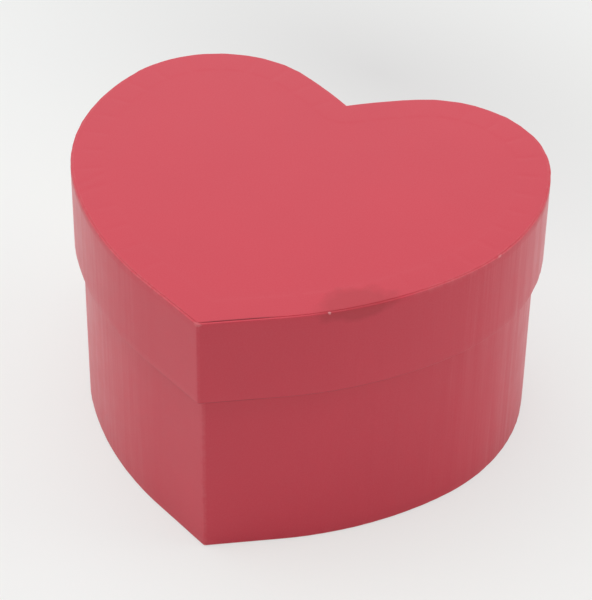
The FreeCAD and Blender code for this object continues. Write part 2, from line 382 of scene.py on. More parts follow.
def heart(inset, tip_radius, cleft_radius, step):
    """Closed outline, clockwise from the cleft: its points, and how tightly it bends at each.

    Faces at other depths that are made with the same step match it point by point. The tip folds
    about a point tip_radius inside the face, and the cleft about one cleft_radius outside it.
    """
    fold = cleft_corner(inset - cleft_radius)
    arcs = arcs_from(fold)
    angles = np.linspace(90, arcs[0][2], CLEFT_POINTS)[:-1]
    rows = [(fold - unit(angle) * cleft_radius, 0.0) for angle in angles]
    for (centre, radius, start, end), nominal in zip(arcs, arcs_from(cleft_corner(0.0))):
        count = max(2, round(math.radians(nominal[2] - end) * radius / step))
        for angle in np.linspace(start, end, count + 1)[:-1]:
            rows.append((centre + unit(angle) * (radius - inset), TIGHT_RADIUS / radius))
    tip_fold = tip_corner(inset + tip_radius)
    centre, radius = ARCS[-1]
    start = centre + unit(TIP_ANGLE) * (radius - inset)
    end = tip_fold + unit(TIP_ANGLE) * tip_radius
    for share in np.linspace(0, 1, round(TIP_RUN / step) + 1)[:-1]:
        rows.append((start + (end - start) * share, 0.0))
    for angle in np.linspace(TIP_ANGLE, -90, TIP_POINTS):
        rows.append((tip_fold + unit(angle) * tip_radius, 0.0))
    points = np.array([row[0] for row in rows])
    bend = np.array([row[1] for row in rows])
    points = np.vstack([points, points[-2:0:-1] * MIRROR])
    return points, np.concatenate([bend, bend[-2:0:-1]])


def snip_angles(radius, start, end):
    """Where the snips along one arc are."""
    count = round(math.radians(start - end) * radius / SNIP_PITCH)
    return [start - (start - end) * (index + 0.5) / count for index in range(count)]


def snip_lines():
    """The snips of both halves of the heart, each as its arc's centre and radius and its way."""
    lines = []
    for centre, radius, start, end in arcs_from(cleft_corner(SNIP_START)):
        for angle in snip_angles(radius, start, end):
            lines.append((centre, radius, unit(angle)))
            lines.append((centre * MIRROR, radius, unit(angle) * MIRROR))
    return lines


def closed(rows):
    """The rows with the first one again at the end."""
    return np.concatenate([rows, rows[:1]])


def softened(values):
    """The values of a closed row, each averaged with its neighbours on both sides."""
    around = np.concatenate([values[-BEND_BLUR:], values, values[:BEND_BLUR]])
    width = 2 * BEND_BLUR + 1
    return np.convolve(around, np.ones(width) / width, "valid")


def run_lengths(points):
    """Length along a row of points, from its first."""
    steps = np.linalg.norm(np.diff(points, axis=0), axis=1)
    return np.concatenate([[0.0], np.cumsum(steps)])


# ---- how the papers lie, by their place in the heart --------------------------------------------


def waves(flat, seed, length_mm):
    """Slow waves of a glued sheet, between -1 and 1, from its place alone."""
    rng = np.random.default_rng(seed)
    total = np.zeros(len(flat))
    for _ in range(6):
        angle = rng.uniform(0, 2 * math.pi)
        phase = rng.uniform(0, 6.3)
        stretch = rng.uniform(0.7, 1.5)
        way = np.array([math.cos(angle), math.sin(angle)]) * 2 * math.pi / (length_mm * stretch)
        total += np.sin(flat @ way + phase)
    return total / 6


def slack(flat, least):
    """How dark the painted shade at a paper's edge is at each place, with 1 for the darkest."""
    near = (1 - smooth(distance(flat, EDGE_SHADE_PLACE), 6, 18)) * smooth(flat[:, 0], -1, 1)
    elsewhere = least * (1 + 2 * waves(flat, EDGE_SHADE_SEED, 45.0))
    return np.clip(np.maximum(near, elsewhere), 0, 1)


def rub(flat):
    """How pale the folds are painted at each place, as wear and painted highlight: all round, but
    less along the front flank.
    """
    return 0.15 + 0.85 * smooth(distance(flat, FRONT_FLANK), 34, 48)


def no_tab_below(flat, inward, face):
    """1 where no tab lies under a cover sheet: inside the tabs' edge, and at the snips' vees."""
    bare = smooth(inward, TAB_DEPTH - 0.8, TAB_DEPTH + 1.2)
    for centre, radius, way in snip_lines():
        offset = flat - centre
        along = offset @ way
        aside = offset @ np.array([-way[1], way[0]])
        deep = radius - face - along
        width = 0.5 + 0.05 * np.clip(deep, 0, TAB_DEPTH)
        vee = (along > 0) * smooth(deep, SNIP_START, 5.0) * np.exp(-((aside / width) ** 2))
        bare = np.maximum(bare, vee)
    return bare


# ---- meshes and pieces --------------------------------------------------------------------------


def placed(name, mesh):
    """An object at the origin that holds the mesh."""
    piece = bpy.data.objects.new(name, mesh)
    bpy.context.scene.collection.objects.link(piece)
    return piece


def store(mesh, **values):
    """Stores values at the mesh's points, one for each or one for all, under their names."""
    for name, value in values.items():
        each = np.empty(len(mesh.vertices), np.float32)
        each[:] = value
        mesh.attributes.new(name, "FLOAT", "POINT").data.foreach_set("value", each)


def thickened(name, host, even):
    """What the host's modifiers make of it, as a plain mesh with the paper's thickness behind it."""
    solidify = host.modifiers.new("paper", "SOLIDIFY")
    solidify.thickness = PAPER * MM
    solidify.offset = -1.0
    solidify.use_even_offset = even
    depsgraph = bpy.context.evaluated_depsgraph_get()
    mesh = bpy.data.meshes.new_from_object(
        host.evaluated_get(depsgraph), preserve_all_data_layers=True, depsgraph=depsgraph
    )
    bpy.data.objects.remove(host)
    if not mesh.polygons:
        raise RuntimeError(f"{name} has no faces")
    mesh.name = name
    return placed(name, mesh)


def joined(name, *pieces):
    """One object from several, which may be separate sheets of the same piece."""
    mesh = bmesh.new()
    for piece in pieces:
        mesh.from_mesh(piece.data)
    whole = bpy.data.meshes.new(name)
    mesh.to_mesh(whole)
    mesh.free()
    for piece in pieces:
        bpy.data.objects.remove(piece)
    return placed(name, whole)


def finish_piece(piece, body, slot, node):
    """Gives a finished piece its material, body and slot, and hides the CAD node it stands for."""
    mesh = piece.data
    mesh.materials.clear()
    mesh.materials.append(finish_of(slot))
    mesh.polygons.foreach_set("material_index", [0] * len(mesh.polygons))
    store(mesh, on_lid=float(body == "lid"))
    mesh.shade_smooth()
    mesh.set_sharp_from_angle(angle=math.radians(SHARP_ANGLE))
    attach(piece, body)
    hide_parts(node)


# ---- papers along the wall ----------------------------------------------------------------------

STRIP_INPUTS = (
    ("Geometry", "Geometry"),
    ("Outer Rail", "Object"),
    ("Inner Rail", "Object"),
    ("Section", "Object"),
    ("Wave Height", "Float"),
    ("Wave Length", "Float"),
    ("Ripple Height", "Float"),
    ("Seed", "Float"),
    ("Paper", "Material"),
)
RAIL_VALUES = ("bend", "crease", "slack", "rub", "cut", "lift")


@cache
def strip_tree():
    """Paper strip stretched between two rails, along a section, with waves and ripples of its own.

    A section point's X is its share of the way from the outer rail to the inner one, and its Y the
    height. Waves and ripples are the real paper's, where glue and bent board pull it in and out.
    """
    tree = bpy.data.node_groups.new("Paper strip", "GeometryNodeTree")
    for label, kind in STRIP_INPUTS:
        tree.interface.new_socket(label, in_out="INPUT", socket_type="NodeSocket" + kind)
    tree.interface.new_socket("Geometry", in_out="OUTPUT", socket_type="NodeSocketGeometry")
    given = tree.nodes.new("NodeGroupInput").outputs
    node = partial(add, tree)

    def held(helper, index, name):
        """The value that one of a helper's points holds under a name."""
        value = node("GeometryNodeInputNamedAttribute", {"Name": name}, data_type="FLOAT")
        inputs = {"Geometry": helper, "Value": value, "Index": index}
        return node("GeometryNodeSampleIndex", inputs, data_type="FLOAT")

    outer, inner, section = (
        node("GeometryNodeObjectInfo", {"Object": given[label]}, "Geometry")
        for label in ("Outer Rail", "Inner Rail", "Section")
    )
    columns, rows = (
        node("GeometryNodeAttributeDomainSize", {0: helper}, "Point Count")
        for helper in (outer, section)
    )
    shape = node("GeometryNodeMeshGrid", {"Vertices X": columns, "Vertices Y": rows}, "Mesh")
    index = node("GeometryNodeInputIndex")
    column = node("FunctionNodeIntegerMath", (index, rows), operation="DIVIDE_FLOOR")
    row = node("FunctionNodeIntegerMath", (index, rows), operation="FLOORED_MODULO")

    # Each grid point's place between the rails, and further in where something lies under it.
    position = node("GeometryNodeInputPosition")
    out_at, in_at, at_row = (
        node(
            "GeometryNodeSampleIndex",
            {"Geometry": helper, "Value": position, "Index": where},
            data_type="FLOAT_VECTOR",
        )
        for helper, where in ((outer, column), (inner, column), (section, row))
    )
    inwards, height = node("ShaderNodeSeparateXYZ", (at_row,)).node.outputs[:2]
    lifts = (held(outer, column, "lift"), held(section, row, "lift"))
    lift = node("ShaderNodeMath", lifts, operation="MULTIPLY")
    inwards = node("ShaderNodeMath", (inwards, lift), operation="ADD")
    across = node(
        "ShaderNodeMix",
        {0: inwards, 4: out_at, 5: in_at},
        output=1,
        data_type="VECTOR",
        clamp_factor=False,
    )
    raised = node("ShaderNodeCombineXYZ", {2: height})
    place = node("ShaderNodeVectorMath", (across, raised), operation="ADD")
    outward = node("ShaderNodeVectorMath", (out_at, in_at), operation="SUBTRACT")
    outward = node("ShaderNodeVectorMath", (outward,), operation="NORMALIZE")

    # Broad waves of the glued paper, and upright ripples where the board bends tightest.
    run = held(outer, column, "run")
    bend = held(outer, column, "bend")
    per_wave = node("ShaderNodeMath", (1.0, given["Wave Length"]), operation="DIVIDE")
    wave = node(
        "ShaderNodeTexNoise",
        {"Vector": place, "W": given["Seed"], "Scale": per_wave, "Detail": 1.0},
        noise_dimensions="4D",
    )
    wave = node("ShaderNodeMath", (wave, 0.5), operation="SUBTRACT")
    wave = node("ShaderNodeMath", (wave, given["Wave Height"]), operation="MULTIPLY")
    lean = node("ShaderNodeMath", (height, RIPPLE_LEAN), operation="MULTIPLY")
    upright = node("ShaderNodeCombineXYZ", (run, lean))
    ripple = node(
        "ShaderNodeTexNoise",
        {"Vector": upright, "W": given["Seed"], "Scale": RIPPLES_PER_METRE, "Detail": 1.5},
        noise_dimensions="4D",
    )
    ripple = node("ShaderNodeMath", (ripple, 0.5), operation="SUBTRACT")
    ripple = node("ShaderNodeMath", (ripple, given["Ripple Height"]), operation="MULTIPLY")
    ripple = node("ShaderNodeMath", (ripple, bend), operation="MULTIPLY")
    moved = node("ShaderNodeMath", (wave, ripple), operation="ADD")
    moved = node("ShaderNodeMath", (moved, DEEPEST * MM), operation="MAXIMUM")
    moved = node("ShaderNodeMath", (moved, held(section, row, "free")), operation="MULTIPLY")
    moved = node("ShaderNodeVectorMath", {0: outward, "Scale": moved}, operation="SCALE")
    place = node("ShaderNodeVectorMath", (place, moved), operation="ADD")
    shape = node("GeometryNodeSetPosition", {"Geometry": shape, "Position": place})

    # A snip leaves out the faces between its two columns.
    per_column = node("FunctionNodeIntegerMath", (rows, 1), operation="SUBTRACT")
    face_column = node("FunctionNodeIntegerMath", (index, per_column), operation="DIVIDE_FLOOR")
    cut = held(outer, face_column, "cut")
    cut = node("ShaderNodeMath", (cut, 0.5), operation="GREATER_THAN")
    shape = node("GeometryNodeDeleteGeometry", {"Geometry": shape, "Selection": cut}, domain="FACE")

    # What the paper's material reads.
    # Folds painted pale, as wear and painted highlight.
    folds = (held(section, row, "fold"), held(outer, column, "rub"))
    fold = node("ShaderNodeMath", folds, operation="MULTIPLY")
    fold = node("ShaderNodeMath", (fold, held(outer, column, "crease")), operation="MAXIMUM")
    # Painted shade under a paper's edge: the section's gap times the rail's painted edge shade.
    gaps = (held(section, row, "gap"), held(outer, column, "slack"))
    gap = node("ShaderNodeMath", gaps, operation="MULTIPLY")
    for name, value in (("fold", fold), ("gap", gap), ("bend", bend)):
        shape = node(
            "GeometryNodeStoreNamedAttribute",
            {"Geometry": shape, "Name": name, "Value": value},
            data_type="FLOAT",
            domain="POINT",
        )
    shape = node("GeometryNodeMergeByDistance", {"Geometry": shape, "Distance": 1e-6})
    shape = node("GeometryNodeRealizeInstances", (shape,))
    shape = node("GeometryNodeSetMaterial", {"Geometry": shape, "Material": given["Paper"]})
    node("NodeGroupOutput", (shape,))
    return tree


def fold_arc(centre, radius, start, end, wear_and_highlight, gap=0.0):
    """Section points of a rounded fold: depth, height, how pale it is painted as wear and highlight,
    and how dark its painted gap shade is.
    """
    rows = []
    for index, angle in enumerate(np.linspace(start, end, FOLD_POINTS)):
        rounded = math.sin(math.pi * (index + 0.5) / FOLD_POINTS) ** 0.5
        dark = gap * rounded * (index > 0)
        rows.append((*(centre + unit(angle) * radius), wear_and_highlight * rounded, dark))
    return rows


def straight(start, end, step):
    """Section points between two folds, without their ends."""
    start, end = np.array(start, float), np.array(end, float)
    count = max(2, round(float(np.linalg.norm(end - start)) / step))
    return [(*(start + (end - start) * i / count), 0.0, 0.0) for i in range(1, count)]


def wrap_section(half, radius):
    """Section of a side wrap: flat border on the panel, fold, side, folded rim and turned-in edge.

    Each row holds a depth inwards from the half's outer face, a height, the painted pale of wear and
    highlight, and the painted gap shade.
    """
    up, tabs, rim = half.up, half.tabs, half.rim
    far = LINING_OUT
    edge, low_edge, end = tabs - up * radius, rim + up * radius, rim + up * TURN_IN
    rows = [(SNIP_START, tabs, 0.0, 0.0), (1.0, tabs, 0.0, 0.0)]
    rows += fold_arc((radius, edge), radius, 90 * up, 180 * up, half.tab_wear_and_highlight)
    rows += straight((0.0, edge), (0.0, low_edge), SIDE_STEP)
    rows += fold_arc((radius, low_edge), radius, 180 * up, 270 * up, half.rim_wear_and_highlight, half.rim_shade)
    rows += straight((radius, rim), (far - radius, rim), RIM_STEP)
    rows += fold_arc((far - radius, low_edge), radius, -90 * up, 0, half.rim_wear_and_highlight, half.rim_shade)
    rows += straight((far, low_edge), (far, end), SIDE_STEP)
    rows.append((far, end, 0.0, 0.0))
    return rows[::up]


def lining_section(half):
    """Section of a wall lining, which steps back to the board where the turned-in wrap ends.

    The second row of numbers is how far each point is pressed on the board, from 0 to 1.
    """
    edge = half.rim + half.up * LINING_DROP
    step_at = TURN_IN - LINING_DROP
    end = abs(half.panel - edge)
    runs = [0.0, 0.6, *np.arange(SIDE_STEP, step_at - 0.9, SIDE_STEP)]
    runs += [step_at - 0.3, step_at + 0.3, step_at + 0.9]
    runs += [*np.arange(step_at + 4.0, end - 1.5, SIDE_STEP), end]
    runs = np.array(runs)[:: half.up]
    pressed = smooth(runs - step_at, -0.4, 0.8)
    bare = np.zeros((len(runs), 2))
    rows = np.column_stack([LINING_IN - PAPER * pressed, edge + half.up * runs, bare])
    return rows, pressed


def fold_line(inset, tip_radius, cleft_radius, step, wear_and_highlight=0.0):
    """The points of a closed outline, its first one again at the end, and what its rail needs."""
    points, bend = heart(inset, tip_radius, cleft_radius, step)
    points = closed(points)
    at_tip = distance(points, tip_corner(inset))
    at_seam = distance(points, points[0])
    return points, {
        "bend": closed(softened(bend)) * smooth(at_seam, 0.0, SEAM_CALM),
        # Pale painted down the tip's fold, as wear and painted highlight.
        "crease": wear_and_highlight * (1 - smooth(at_tip, 0.6 * tip_radius, 1.6 * tip_radius)),
        "slack": slack(points, RIM_SHADE_LEAST),
        "rub": rub(points),
    }


class Walls:
    """Makes strips of paper along the wall, and holds the helpers that they need."""

    def __init__(self, sizes):
        self.sizes = sizes
        self.step = sizes.step / MM
        self.helpers = []

    def helper(self, points, **values):
        """An object that holds a row of points in metres, with values for the strip to read."""
        mesh = bpy.data.meshes.new("helper")
        mesh.from_pydata([tuple(point) for point in points], [], [])
        store(mesh, **values)
        self.helpers.append(placed("helper", mesh))
        return self.helpers[-1]

    def rail(self, points, **values):
        """A rail through these points, in millimetres."""
        flat = np.column_stack([points, np.zeros(len(points))]) * MM
        nothing = dict.fromkeys(RAIL_VALUES, 0.0)
        return self.helper(flat, run=run_lengths(flat), **(nothing | values))

    def rails(self, insets, tip_radii, cleft_radii, wear_and_highlight=0.0, lift=0.0):
        """The outer and the inner rail of a closed strip."""
        made = []
        for inset, tip, cleft in zip(insets, tip_radii, cleft_radii):
            points, found = fold_line(inset, tip, cleft, self.step, wear_and_highlight)
            made.append(self.rail(points, **found, lift=lift))
        return made

    def section(self, rows, start, end, lift=0.0, free=1.0):
        """The section through rows of depth, height, painted pale of wear and highlight, and painted
        gap shade, for rails at two depths.
        """
        depths, heights, fold, gap = np.array(rows).T
        share = (depths - start) / (end - start)
        points = np.column_stack([share, heights * MM, np.zeros(len(rows))])
        return self.helper(points, lift=lift, free=free, fold=fold, gap=gap)

    def strip(self, name, rails, section, seed, slot):
        """One strip of paper as a plain mesh."""
        values = {
            "Outer Rail": rails[0],
            "Inner Rail": rails[1],
            "Section": section,
            "Wave Height": self.sizes.wave_height,
            "Wave Length": self.sizes.wave_length,
            "Ripple Height": self.sizes.ripple_height,
            "Seed": float(seed),
            "Paper": finish_of(slot),
        }
        host = placed(name + "_host", bpy.data.meshes.new(name))
        modifier = host.modifiers.new("strip", "NODES")
        modifier.node_group = strip_tree()
        for item in modifier.node_group.interface.items_tree:
            if item.in_out == "INPUT" and item.name in values:
                modifier[item.identifier] = values[item.name]
        return thickened(name, host, even=True)

    def clear(self):
        """Removes the helpers."""
        for helper in self.helpers:
            bpy.data.objects.remove(helper)


def tab_columns(face):
    """Columns of the snipped tabs: points at their roots and at their free edges, and the cuts."""
    root, tip = face + SNIP_START, face + TAB_DEPTH
    outer, inner, cut = [], [], []
    for number, (centre, radius, start, end) in enumerate(arcs_from(cleft_corner(root))):
        stops = [start, *snip_angles(radius, start, end), end]
        tabs = list(zip(stops, stops[1:]))
        for index, (one, other) in enumerate(tabs):
            for share in np.linspace(0, 1, TAB_POINTS):
                # The snip is a vee, so a tab is narrower at its free edge.
                after_snip = share == 0 and (index > 0 or number == 0)
                before_snip = share == 1 and index < len(tabs) - 1
                side = int(before_snip) - int(after_snip)
                angle = one + (other - one) * share
                for rows, deep, gap in ((outer, root, SNIP_ROOT_GAP), (inner, tip, SNIP_GAP)):
                    narrow = side * math.degrees(gap / 2 / (radius - deep))
                    rows.append(centre + unit(angle + narrow) * (radius - deep))
                cut.append(float(before_snip))
    half_slit = np.array([MITRE_SLIT / 2, 0.0])
    outer.append(tip_corner(root) + half_slit)
    inner.append(tip_corner(tip) + half_slit)
    cut.append(1.0)
    outer = np.vstack([outer, np.array(outer[::-1]) * MIRROR])
    inner = np.vstack([inner, np.array(inner[::-1]) * MIRROR])
    return outer, inner, np.concatenate([cut, cut[-2::-1], [0.0]])


# ---- flat heart-shaped sheets -------------------------------------------------------------------


def heart_sheet(name, edge, height, up, step, sink, gap=None):
    """A sheet of paper cut to a heart whose edge lies that deep, facing up or down.

    Its rings follow the outline, and then shrink to its middle. sink gives how far each point lies
    behind the sheet's height in millimetres, from its place and its depth inwards from the sheet's
    edge. gap is the least painted shade along that edge.
    """
    rings = []
    for inward in SHEET_RINGS:
        rings.append(heart(edge + inward, SHEET_TIP_BEND, SHEET_CLEFT_BEND + inward, step)[0])
    middle = np.array([0.0, rings[-1][:, 1].mean()])
    rings += [middle + (rings[-1] - middle) * share for share in SHEET_SHRINKS]
    flat = np.vstack([*rings, middle])
    count = len(rings[0])
    ring = np.arange(len(flat)) // count
    inward = np.take(SHEET_RINGS, ring, mode="clip")
    points = np.column_stack([flat, height - up * sink(flat, inward)]) * MM
    around = np.arange(count)
    after = (around + 1) % count
    last = (len(rings) - 1) * count
    faces = []
    for low in range(0, last, count):
        high = low + count
        faces += zip(low + around, low + after, high + after, high + around)
    faces += [(last + a, last + b, len(points) - 1) for a, b in zip(around, after)]
    faces = [tuple(int(i) for i in face) for face in faces]
    mesh = bpy.data.meshes.new(name)
    mesh.from_pydata([tuple(point) for point in points], [], faces)
    if (mesh.polygons[0].normal.z > 0) != (up > 0):
        mesh.flip_normals()
    if gap is not None:
        # The edge rings get painted shade, and where that is light, painted pale of wear and
        # highlight.
        at_edge = np.take((1.0, 0.6, 0.0), ring, mode="clip")
        dark = slack(flat, gap)
        store(mesh, gap=dark * at_edge, fold=rub(flat) * (1 - dark) * at_edge)
    return thickened(name, placed(name + "_host", mesh), even=False)


# ---- materials ----------------------------------------------------------------------------------


def surface(name, plain):
    """A new material, what adds its nodes, its Principled shader, and the object coordinates."""
    material = bpy.data.materials.new(name)
    material.use_nodes = True
    material.node_tree.nodes.clear()
    node = partial(add, material.node_tree)
    shader = node("ShaderNodeBsdfPrincipled", {"Base Color": (*plain, 1.0)})
    return material, node, shader, node("ShaderNodeTexCoord", output="Object")


def grain(place, size_mm, seed, detail=2.0, roughness=0.5):
    """The inputs of a noise whose features are about size_mm wide."""
    return {
        "Vector": place,
        "W": seed,
        "Scale": 1 / (size_mm * MM),
        "Detail": detail,
        "Roughness": roughness,
    }


def stained(node, base, mask, low, high, strength, stain, blend="MIX"):
    """The base colour turned towards a stain as the mask goes from low to high."""
    share = node("ShaderNodeMapRange", (mask, low, high, 0.0, strength))
    if not isinstance(base, bpy.types.NodeSocket):
        base = (*base, 1.0)
    inputs = {0: share, 6: base, 7: (*stain, 1.0)}
    return node("ShaderNodeMix", inputs, output=2, data_type="RGBA", blend_type=blend)


def spot(node, place, where, inner, ragged=None):
    """1 within the inner share of a ball, falling to 0 at its edge, which is ragged if asked.

    where is the ball's centre and its size along each axis, in millimetres, and its turn.
    """
    centre, size, turn = where
    local = node(
        "ShaderNodeMapping",
        {
            "Vector": place,
            "Location": [value * MM for value in centre],
            "Rotation": (0.0, 0.0, math.radians(turn)),
            "Scale": [value * MM for value in size],
        },
        vector_type="TEXTURE",
    )
    away = node("ShaderNodeVectorMath", (local,), "Value", operation="LENGTH")
    if ragged is not None:
        away = node("ShaderNodeMath", (away, ragged), operation="ADD")
    return node("ShaderNodeMapRange", (away, inner, 1.0, 1.0, 0.0))


def relief(node, *layers):
    """The normal of bumps upon bumps, each given by its height, its millimetres and strength."""
    normal = {}
    for height, height_mm, strength in layers:
        inputs = {"Height": height, "Distance": height_mm * MM, "Strength": strength}
        normal = {"Normal": node("ShaderNodeBump", inputs | normal)}
    return normal


def red_wrapping_paper(colours):
    """Satin coated wrapping paper, dyed red: soft sheen, fine fibre, folds painted pale as wear and
    highlight, and painted shade at paper edges and on the lid's front edge.
    """
    material, node, shader, place = surface("satin_red_wrapping_paper", colours.wrap_red)
    upright = node("ShaderNodeMapping", {"Vector": place, "Scale": (1.0, 1.0, 0.04)})
    tone, fibre, blur, cracks, ragged, gloss, lumps, streaks = (
        node("ShaderNodeTexNoise", grain(*row), noise_dimensions="4D")
        for row in (
            (place, 46.0, 1.0),
            # Fibres are about 0.05 mm thick in real paper, and drawn at 0.5 mm so that they show.
            (place, 0.5, 2.0, 3.0, 0.6),
            (place, 7.0, 15.0),
            (place, 3.0, 3.0, 3.0, 0.7),
            (place, 0.5, 14.0, 2.0, 0.7),
            (place, 9.0, 4.0, 3.0),
            # The board's lumps show through the paper, a few millimetres wide.
            (place, 6.0, 5.0),
            # Upright streaks about 3 mm apart are the board's ripples round the tight bends.
            (upright, 3.2, 16.0, 2.0, 0.6),
        )
    )
    fold, gap, bend, on_lid = (
        node("ShaderNodeAttribute", output="Fac", attribute_name=name)
        for name in ("fold", "gap", "bend", "on_lid")
    )
    base = stained(node, colours.wrap_red, tone, 0.3, 0.7, 0.3, colours.wrap_deep)
    base = stained(node, base, fibre, 0.35, 0.75, 0.03, colours.wrap_core)
    # A soft patch on the lid's front edge is painted darker: painted shade, as of a shallow dent in
    # the edge.
    blur = node("ShaderNodeMapRange", (blur, 0.3, 0.7, -0.15, 0.15))
    dent_shade = spot(node, place, DENT_SHADE, 0.65, blur)
    dent_shade = node("ShaderNodeMath", (dent_shade, on_lid), operation="MULTIPLY")
    base = stained(node, base, dent_shade, 0.0, 1.0, 0.48, linear("#D0A8A8"), "MULTIPLY")
    # Folds are painted pale, partly as wear and partly as painted highlight; the gap under a paper's
    # edge gets painted shade; and corners are chipped.
    cracks = node("ShaderNodeMapRange", (cracks, 0.3, 0.6, 0.4, 1.0))
    wear_and_highlight = node("ShaderNodeMath", (fold, cracks), operation="MULTIPLY")
    base = stained(node, base, wear_and_highlight, 0.1, 1.0, 0.14, colours.wrap_core)
    base = stained(node, base, gap, 0.0, 1.0, 0.75, linear("#4A1018"))
    ragged = node("ShaderNodeMapRange", (ragged, 0.3, 0.7, -0.35, 0.35))
    for *where, strength in CHIPS:
        chip = spot(node, place, where, 0.6, ragged)
        base = stained(node, base, chip, 0.0, 1.0, strength, colours.wrap_core)
    # The coating is satin, and matt on the pale folds and in the painted edge shade.
    gloss = node("ShaderNodeMapRange", (gloss, 0.3, 0.7, 0.29, 0.34))
    matt = node("ShaderNodeMath", (gap, fold), operation="ADD", use_clamp=True)
    rough = node("ShaderNodeMix", {0: matt, 2: gloss, 3: 0.7})
    streaks = node("ShaderNodeMath", (streaks, bend), operation="MULTIPLY")
    normal = relief(node, (lumps, 0.03, 0.5), (streaks, 0.45, 0.8), (fibre, 0.008, 0.4))
    feed(shader.node, {"Base Color": base, "Roughness": rough, "IOR": 1.5} | normal)
    node("ShaderNodeOutputMaterial", {"Surface": shader})
    return material


def ivory_lining_paper(colours):
    """Uncoated ivory paper: matt, with soft clouds of fibre."""
    material, node, shader, place = surface("uncoated_ivory_lining_paper", colours.lining_ivory)
    clouds, fibre, lumps = (
        node("ShaderNodeTexNoise", grain(place, *row), noise_dimensions="4D")
        for row in ((14.0, 6.0, 3.0), (0.6, 7.0, 3.0, 0.6), (7.0, 8.0))
    )
    base = stained(node, colours.lining_ivory, clouds, 0.3, 0.7, 0.06, colours.kraft_brown)
    base = stained(node, base, fibre, 0.45, 0.75, 0.08, colours.greyboard)
    rough = node("ShaderNodeMapRange", (fibre, 0.3, 0.7, 0.78, 0.90))
    normal = relief(node, (lumps, 0.05, 0.4), (fibre, 0.03, 0.5))
    feed(shader.node, {"Base Color": base, "Roughness": rough} | normal)
    node("ShaderNodeOutputMaterial", {"Surface": shader})
    return material


def raw_greyboard(colours):
    """Chipboard of waste paper: grey, with light and dark flecks, and quite matt."""
    material, node, shader, place = surface("raw_greyboard", colours.greyboard)
    clouds, flecks, fibre = (
        node("ShaderNodeTexNoise", grain(place, *row), noise_dimensions="4D")
        for row in ((8.0, 9.0, 4.0, 0.6), (0.8, 10.0, 3.0, 0.7), (0.7, 11.0, 4.0, 0.7))
    )
    base = stained(node, colours.greyboard, clouds, 0.3, 0.7, 0.22, colours.kraft_brown)
    base = stained(node, base, flecks, 0.58, 0.72, 0.5, linear("#5F5A54"))
    feed(shader.node, {"Base Color": base, "Roughness": 0.92} | relief(node, (fibre, 0.1, 0.7)))
    node("ShaderNodeOutputMaterial", {"Surface": shader})
    return material


def gummed_kraft_tape(colours):
    """Kraft paper tape: brown, with long fibres, and a slight gloss from its gum."""
    material, node, shader, place = surface("gummed_kraft_tape", colours.kraft_brown)
    long_way = node("ShaderNodeMapping", {"Vector": place, "Scale": (1.0, 1.0, 0.15)})
    inputs = grain(long_way, 0.7, 12.0, 3.0, 0.6)
    fibre = node("ShaderNodeTexNoise", inputs, noise_dimensions="4D")
    base = stained(node, colours.kraft_brown, fibre, 0.35, 0.7, 0.35, linear("#8C6538"))
    rough = node("ShaderNodeMapRange", (fibre, 0.3, 0.7, 0.55, 0.7))
    normal = relief(node, (fibre, 0.03, 0.6))
    feed(shader.node, {"Base Color": base, "Roughness": rough} | normal)
    node("ShaderNodeOutputMaterial", {"Surface": shader})
    return material


MATERIALS = {
    "red_wrap": red_wrapping_paper,
    "lining": ivory_lining_paper,
    "greyboard": raw_greyboard,
    "kraft_tape": gummed_kraft_tape,
}


@cache
def finish_of(slot):
    """The material of a slot, made once."""
    return MATERIALS[slot](bpy.context.scene.heart_box.colours)


def seen_rays(node):
    """1 for what the camera sees, straight or in a gloss or through glass, and 0 for the light."""
    rays = node("ShaderNodeLightPath").node.outputs
    seen = rays["Is Camera Ray"]
    for other in ("Is Glossy Ray", "Is Transmission Ray"):
        seen = node("ShaderNodeMath", (seen, rays[other]), operation="MAXIMUM")
    return seen


# ---- operators ----------------------------------------------------------------------------------


